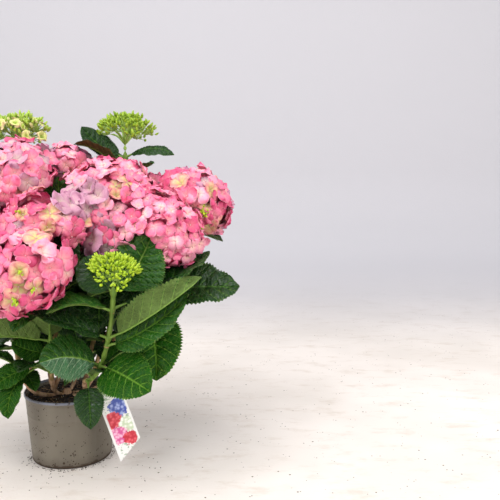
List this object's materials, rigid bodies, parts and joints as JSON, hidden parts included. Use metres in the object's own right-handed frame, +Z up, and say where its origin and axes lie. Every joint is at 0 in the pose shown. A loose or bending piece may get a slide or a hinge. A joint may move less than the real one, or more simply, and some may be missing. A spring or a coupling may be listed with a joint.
{
  "type": "potted hydrangea shrub",
  "caption": "Hydrangea shrub in bloom in a round nursery pot: woody stumps, canes, toothed leaves, domed pink flower heads, green bud clusters and a plain plant label.",
  "frame": {"origin": "centre of the pot's flat underside, on the ground", "axes": "+Z up, -Y towards the plant's front, +X to the right seen from the front"},
  "size_m": [0.449, 0.3851, 0.4964],
  "materials": {
    "pot": "satin",
    "soil": "matte",
    "tag": "gloss",
    "wood": "matte",
    "leaf": "satin",
    "blossom": "matte",
    "bud": "matte"
  },
  "bodies": {
    "root": {"pot": "pot", "soil": "soil", "plant_tag": "tag", "root_crown": "wood", "cane_front_low": "wood", "leaves_front_low": "leaf", "cane_front_high": "wood", "leaves_front_high": "leaf", "cane_top_left": "wood", "leaves_top_left": "leaf", "cane_top_back": "wood", "leaves_top_back": "leaf", "cane_centre": "wood", "leaves_centre": "leaf", "cane_right_front": "wood", "leaves_right_front": "leaf", "cane_right": "wood", "leaves_right": "leaf", "cane_back": "wood", "leaves_back": "leaf", "cane_back_left": "wood", "leaves_back_left": "leaf", "cane_left": "wood", "leaves_left": "leaf", "cane_left_front": "wood", "leaves_left_front": "leaf", "cane_young_front": "wood", "leaves_young_front": "leaf", "cane_young_top_right": "wood", "leaves_young_top_right": "leaf", "cane_young_top_left": "wood", "leaves_young_top_left": "leaf", "cane_young_back": "wood", "leaves_young_back": "leaf", "bloom_front_low": "blossom", "bloom_front_high": "blossom", "bloom_top_left": "blossom", "bloom_top_back": "blossom", "bloom_centre": "blossom", "bloom_right_front": "blossom", "bloom_right": "blossom", "bloom_back": "blossom", "bloom_back_left": "blossom", "bloom_left": "blossom", "bloom_left_front": "blossom", "bud_young_front": "bud", "bud_young_top_right": "bud", "bud_young_top_left": "bud", "bud_young_back": "bud"}
  },
  "joints": []
}
